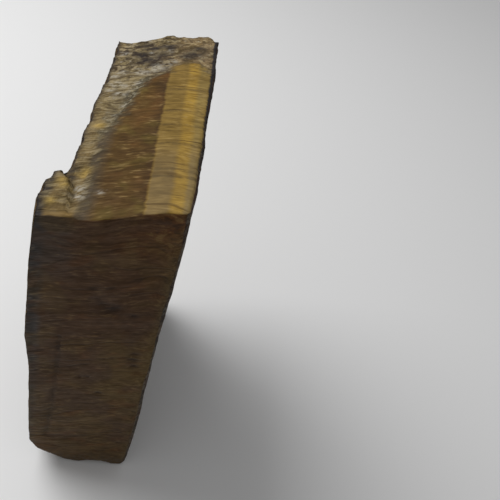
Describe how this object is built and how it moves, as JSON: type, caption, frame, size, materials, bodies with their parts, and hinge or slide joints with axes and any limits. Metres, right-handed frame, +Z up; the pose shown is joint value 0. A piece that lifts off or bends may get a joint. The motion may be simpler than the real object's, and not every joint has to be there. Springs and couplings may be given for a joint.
{
  "type": "rough tiger's eye",
  "caption": "Block of rough tiger's eye: a fibrous brown and gold seam with dark rind walls, a tilted cut top, a broken back and a flat sawn foot that it stands on.",
  "frame": {"origin": "in the sawn foot, under the middle of the block's lowest level, where it rests", "axes": "+Z up, -Y towards the dark cut front, +X across the seam towards the side that the gold band is nearest to"},
  "size_m": [0.0438, 0.0829, 0.1142],
  "materials": {
    "stone": "rough and silky fibrous stone, dark brown with a gold band, and dull charcoal rind on two sides"
  },
  "bodies": {
    "root": {"tigers_eye": "stone"}
  },
  "joints": []
}
